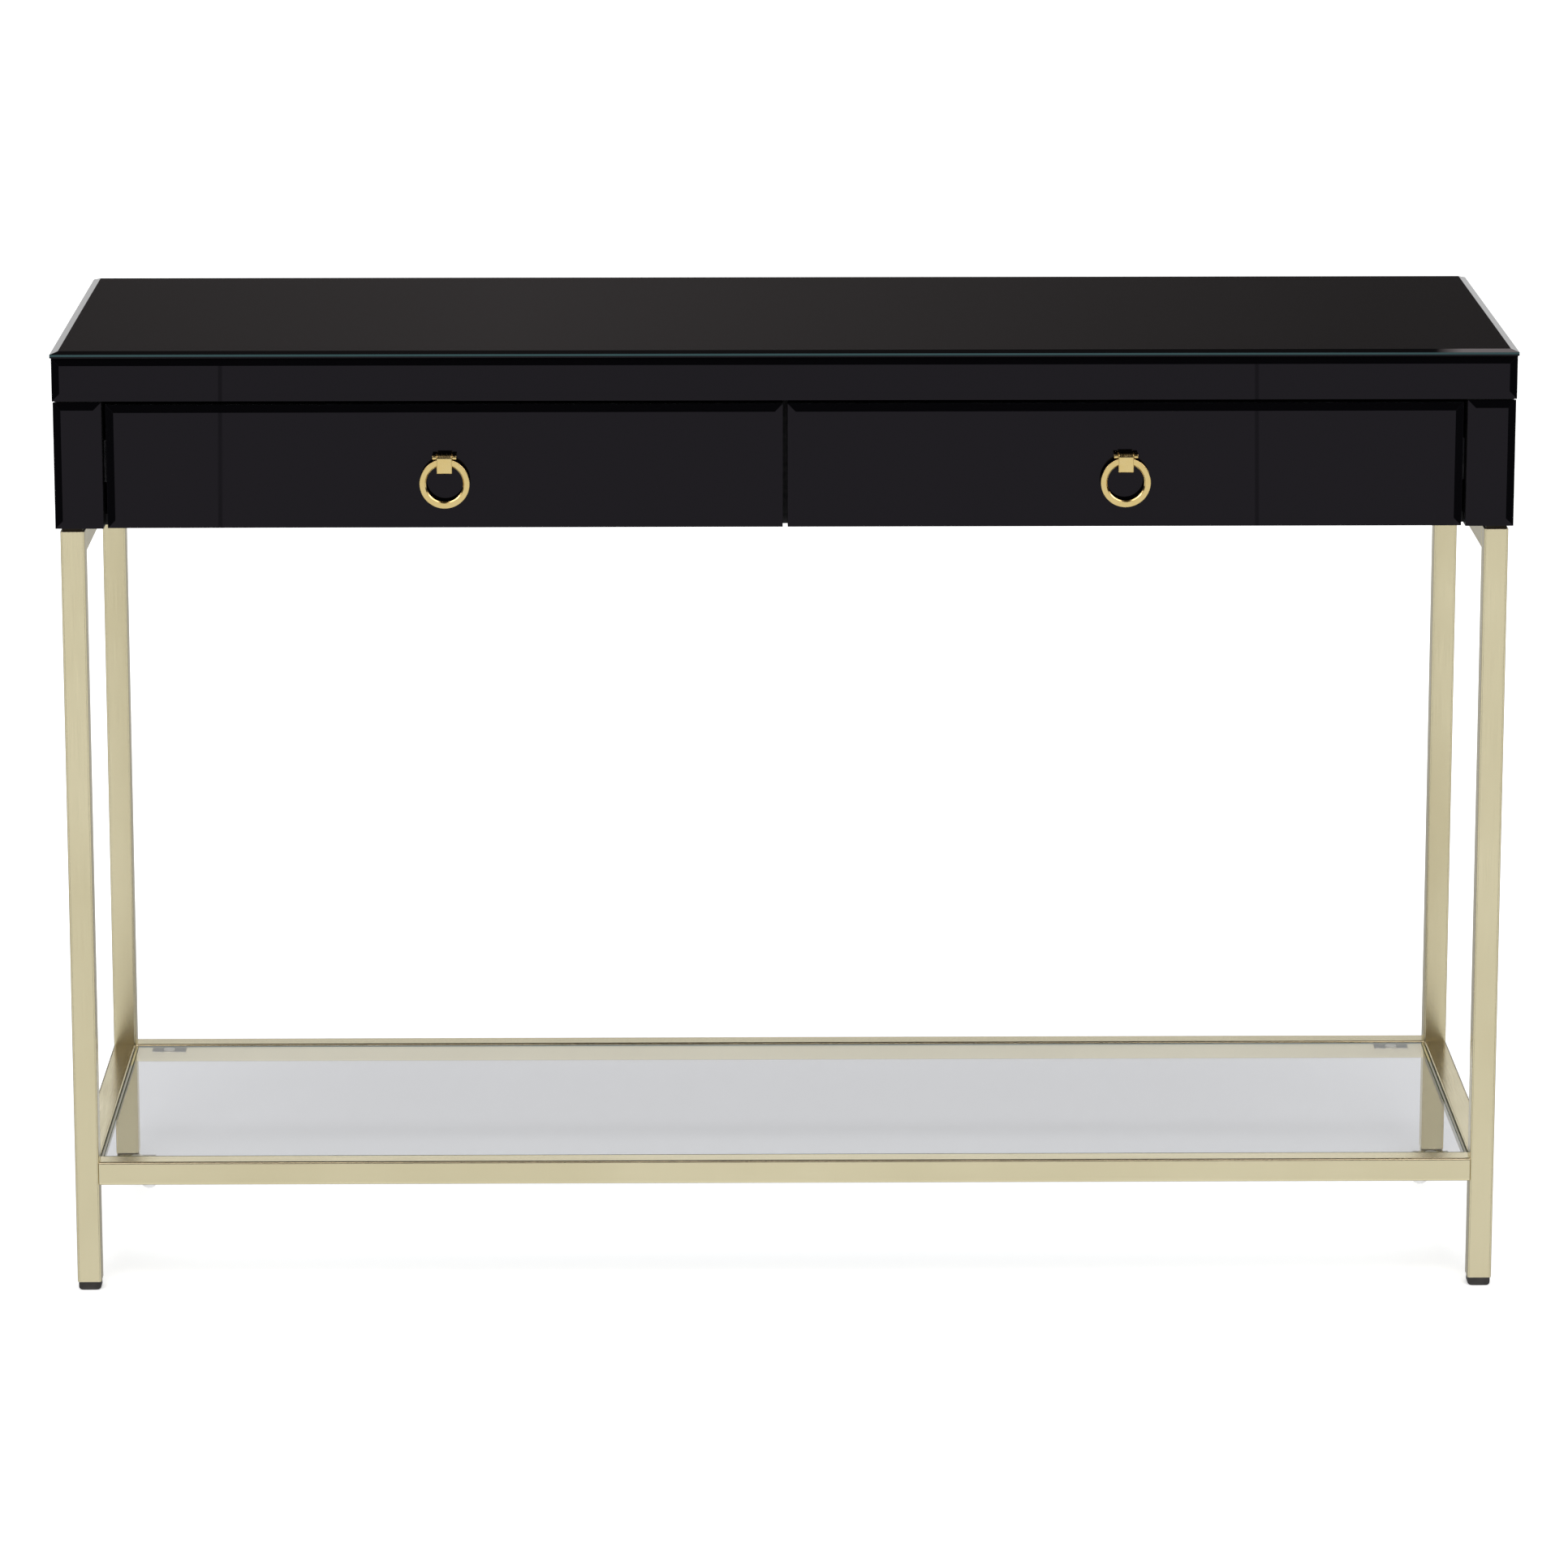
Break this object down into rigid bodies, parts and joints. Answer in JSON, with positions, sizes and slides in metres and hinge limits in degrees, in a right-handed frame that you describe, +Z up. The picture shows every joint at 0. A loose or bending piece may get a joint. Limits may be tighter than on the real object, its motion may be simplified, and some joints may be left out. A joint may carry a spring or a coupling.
{
  "type": "two-drawer console dressing table",
  "caption": "Console dressing table clad in bevelled black glass, with ring-pull drawers, a slim champagne metal frame and a clear glass lower shelf.",
  "frame": {"origin": "on the floor, midway between the left and right sides and midway between the top's back edge and the foremost point of the ring pulls", "axes": "+X to the viewer's right along the table's width, -Y towards the front where the drawers open, +Z up"},
  "size_m": [1.2, 0.41, 0.8],
  "materials": {
    "black_glass": "polished, painted black on the back",
    "clear_glass": "polished",
    "champagne_metal": "brushed, champagne gold plated",
    "polished_brass": "polished",
    "zinc_steel": "zinc plated",
    "black_zinc_steel": "black zinc plated",
    "dark_steel": "satin",
    "black_board": "fibreboard, painted black",
    "drawer_board": "fibreboard, black foil",
    "black_plastic": "moulded",
    "grey_plastic": "moulded",
    "clear_rubber": "soft"
  },
  "bodies": {
    "root": {"case_back_board": "black_board", "case_bottom_board": "black_board", "case_side_left": "black_board", "case_side_right": "black_board", "centre_divider": "black_board", "foot_glides": "black_plastic", "frame_screws": "zinc_steel", "leg_back_left": "champagne_metal", "leg_back_right": "champagne_metal", "leg_front_left": "champagne_metal", "leg_front_right": "champagne_metal", "leg_spacer_plates": "dark_steel", "post_glass_left": "black_glass", "post_glass_right": "black_glass", "rim_glass_front": "black_glass", "rim_glass_left": "black_glass", "rim_glass_right": "black_glass", "rim_strips_long": "black_board", "rim_strips_short": "black_board", "runner_outer_members": "black_zinc_steel", "shelf_glass": "clear_glass", "shelf_glass_pads": "clear_rubber", "shelf_glass_tabs": "champagne_metal", "shelf_rail_back": "champagne_metal", "shelf_rail_front": "champagne_metal", "shelf_rail_left": "champagne_metal", "shelf_rail_plugs": "grey_plastic", "shelf_rail_right": "champagne_metal", "side_glass_left": "black_glass", "side_glass_right": "black_glass", "top_board": "black_board", "top_glass": "black_glass", "top_rail_left": "champagne_metal", "top_rail_right": "champagne_metal"},
    "drawer_left": {"drawer_left_back": "drawer_board", "drawer_left_bottom": "drawer_board", "drawer_left_front_board": "black_board", "drawer_left_front_glass": "black_glass", "drawer_left_inner_side": "drawer_board", "drawer_left_outer_side": "drawer_board", "drawer_left_runner_members": "black_zinc_steel", "pull_left_bracket": "polished_brass", "pull_left_pin": "polished_brass", "pull_left_screw": "zinc_steel"},
    "drawer_right": {"drawer_right_back": "drawer_board", "drawer_right_bottom": "drawer_board", "drawer_right_front_board": "black_board", "drawer_right_front_glass": "black_glass", "drawer_right_inner_side": "drawer_board", "drawer_right_outer_side": "drawer_board", "drawer_right_runner_members": "black_zinc_steel", "pull_right_bracket": "polished_brass", "pull_right_pin": "polished_brass", "pull_right_screw": "zinc_steel"},
    "runner_left": {"runner_middle_members_left": "black_zinc_steel"},
    "runner_right": {"runner_middle_members_right": "black_zinc_steel"},
    "ring_left": {"pull_left_clasp": "polished_brass", "pull_left_ring": "polished_brass"},
    "ring_right": {"pull_right_clasp": "polished_brass", "pull_right_ring": "polished_brass"}
  },
  "joints": [
    {"name": "drawer_left_slide", "type": "slide", "parent": "root", "child": "drawer_left", "axis": [0, -1, 0], "range_m": [0, 0.29]},
    {"name": "runner_left_slide", "type": "slide", "parent": "root", "child": "runner_left", "axis": [0, -1, 0], "range_m": [0, 0.145]},
    {"name": "ring_left_swing", "type": "hinge", "parent": "drawer_left", "child": "ring_left", "pos_m": [-0.27875, -0.2013, 0.7136], "axis": [-1, 0, 0], "range_deg": [0, 100]},
    {"name": "drawer_right_slide", "type": "slide", "parent": "root", "child": "drawer_right", "axis": [0, -1, 0], "range_m": [0, 0.29]},
    {"name": "runner_right_slide", "type": "slide", "parent": "root", "child": "runner_right", "axis": [0, -1, 0], "range_m": [0, 0.145]},
    {"name": "ring_right_swing", "type": "hinge", "parent": "drawer_right", "child": "ring_right", "pos_m": [0.27875, -0.2013, 0.7136], "axis": [-1, 0, 0], "range_deg": [0, 100]}
  ],
  "couplings": [
    {"joint": "runner_left_slide", "follows": "drawer_left_slide", "ratio": 0.5},
    {"joint": "runner_right_slide", "follows": "drawer_right_slide", "ratio": 0.5}
  ]
}
